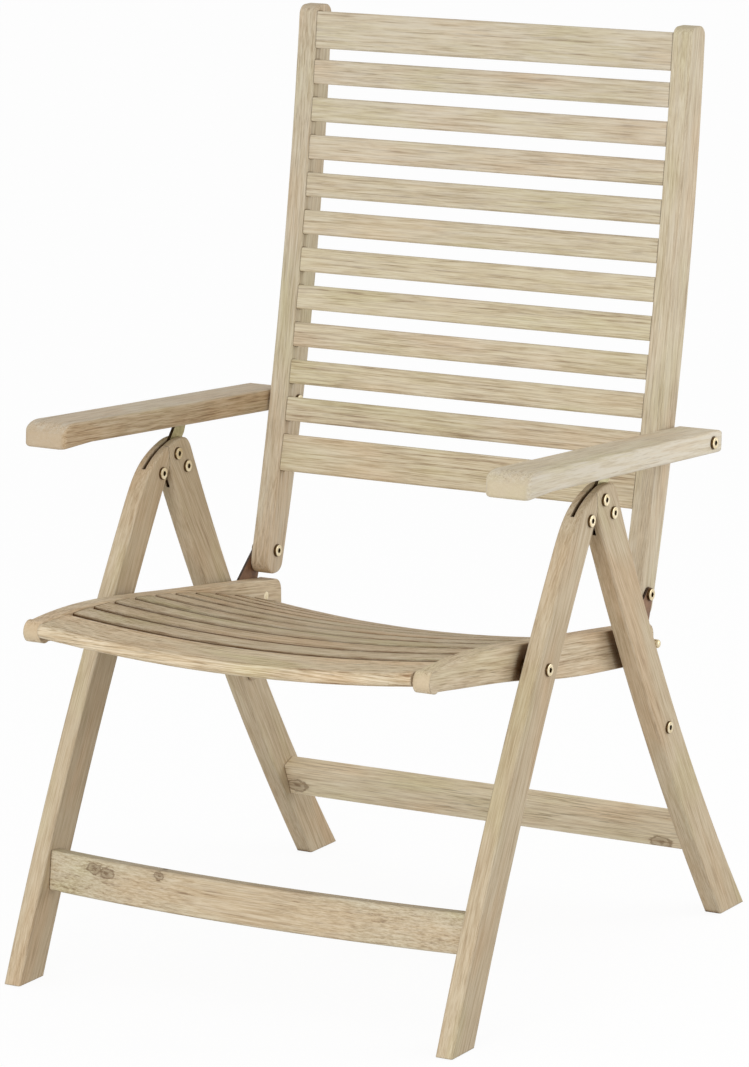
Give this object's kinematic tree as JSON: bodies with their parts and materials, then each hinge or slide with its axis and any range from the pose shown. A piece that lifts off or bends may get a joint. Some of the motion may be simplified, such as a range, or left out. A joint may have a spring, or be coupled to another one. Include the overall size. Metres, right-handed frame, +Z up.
{
  "type": "folding garden armchair",
  "caption": "High-backed folding garden armchair in limed wood, with slatted seat and back, A-shaped side legs and flat arms.",
  "frame": {"origin": "middle of the footprint on the floor", "axes": "+Z up; the sitter faces -Y; +X is the right-hand side as seen from the front"},
  "size_m": [0.6474, 0.696, 1.04],
  "materials": {
    "limed_wood": "limed acacia, matt, open grain with knots",
    "brass_bolts": "brass-coloured plated bolt heads, satin",
    "dark_steel": "dark bronze steel, satin",
    "bronze_plate": "olive bronze plated steel, satin"
  },
  "bodies": {
    "front_frame": {"front_leg_left": "limed_wood", "front_leg_right": "limed_wood", "front_stretcher": "limed_wood", "hinge_pivot_bolts": "brass_bolts", "seat_pivot_bolts": "brass_bolts"},
    "rear_frame": {"rear_leg_left": "limed_wood", "rear_leg_right": "limed_wood", "rear_stretcher": "limed_wood", "hinge_plate_left": "bronze_plate", "hinge_plate_right": "bronze_plate", "notch_pins": "bronze_plate", "hinge_fixing_bolts": "brass_bolts", "stay_leg_bolts": "brass_bolts"},
    "seat": {"seat_rail_left": "limed_wood", "seat_rail_right": "limed_wood", "seat_slat_01": "limed_wood", "seat_slat_02": "limed_wood", "seat_slat_03": "limed_wood", "seat_slat_04": "limed_wood", "seat_slat_05": "limed_wood", "seat_slat_06": "limed_wood", "seat_slat_07": "limed_wood", "seat_slat_08": "limed_wood", "seat_slat_09": "limed_wood", "seat_slat_10": "limed_wood", "seat_slat_11": "limed_wood", "bracket_left": "dark_steel", "bracket_right": "dark_steel", "stop_pins": "brass_bolts", "stay_seat_bolts": "dark_steel"},
    "stays": {"stay_left": "dark_steel", "stay_right": "dark_steel"},
    "back_hinge": {"back_pivot_bolts": "brass_bolts"},
    "back": {"back_stile_left": "limed_wood", "back_stile_right": "limed_wood", "back_slat_01": "limed_wood", "back_slat_02": "limed_wood", "back_slat_03": "limed_wood", "back_slat_04": "limed_wood", "back_slat_05": "limed_wood", "back_slat_06": "limed_wood", "back_slat_07": "limed_wood", "back_slat_08": "limed_wood", "back_slat_09": "limed_wood", "back_slat_10": "limed_wood", "back_slat_11": "limed_wood", "back_slat_12": "limed_wood"},
    "arm_hinge": {"arm_bolts": "brass_bolts"},
    "arms": {"arm_left": "limed_wood", "arm_right": "limed_wood"}
  },
  "joints": [
    {"name": "leg_fold", "type": "hinge", "parent": "front_frame", "child": "rear_frame", "pos_m": [0, -0.032, 0.531], "axis": [-1, 0, 0], "range_deg": [0, 56]},
    {"name": "seat_fold", "type": "hinge", "parent": "front_frame", "child": "seat", "pos_m": [0, -0.13021, 0.3835], "axis": [-1, 0, 0], "range_deg": [0, 93]},
    {"name": "stay_fold", "type": "hinge", "parent": "seat", "child": "stays", "pos_m": [0, 0.12029, 0.3402], "axis": [-1, 0, 0], "range_deg": [0, 128.2]},
    {"name": "back_fold", "type": "hinge", "parent": "seat", "child": "back_hinge", "pos_m": [0, 0.16129, 0.406], "axis": [1, 0, 0], "range_deg": [0, 77]},
    {"name": "back_recline", "type": "hinge", "parent": "back_hinge", "child": "back", "pos_m": [0, 0.16129, 0.406], "axis": [-1, 0, 0], "range_deg": [0, 28]},
    {"name": "arm_fold", "type": "hinge", "parent": "back", "child": "arm_hinge", "pos_m": [0, 0.21379, 0.5775], "axis": [-1, 0, 0], "range_deg": [0, 109]},
    {"name": "arm_recline", "type": "hinge", "parent": "arm_hinge", "child": "arms", "pos_m": [0, 0.21379, 0.5775], "axis": [1, 0, 0], "range_deg": [0, 19.5]}
  ],
  "couplings": [
    {"joint": "seat_fold", "follows": "leg_fold", "ratio": 1.6607},
    {"joint": "stay_fold", "follows": "leg_fold", "ratio": 2.2878},
    {"joint": "back_fold", "follows": "leg_fold", "ratio": 1.375},
    {"joint": "arm_fold", "follows": "leg_fold", "ratio": 1.9464},
    {"joint": "arm_recline", "follows": "back_recline", "ratio": 0.6945}
  ]
}
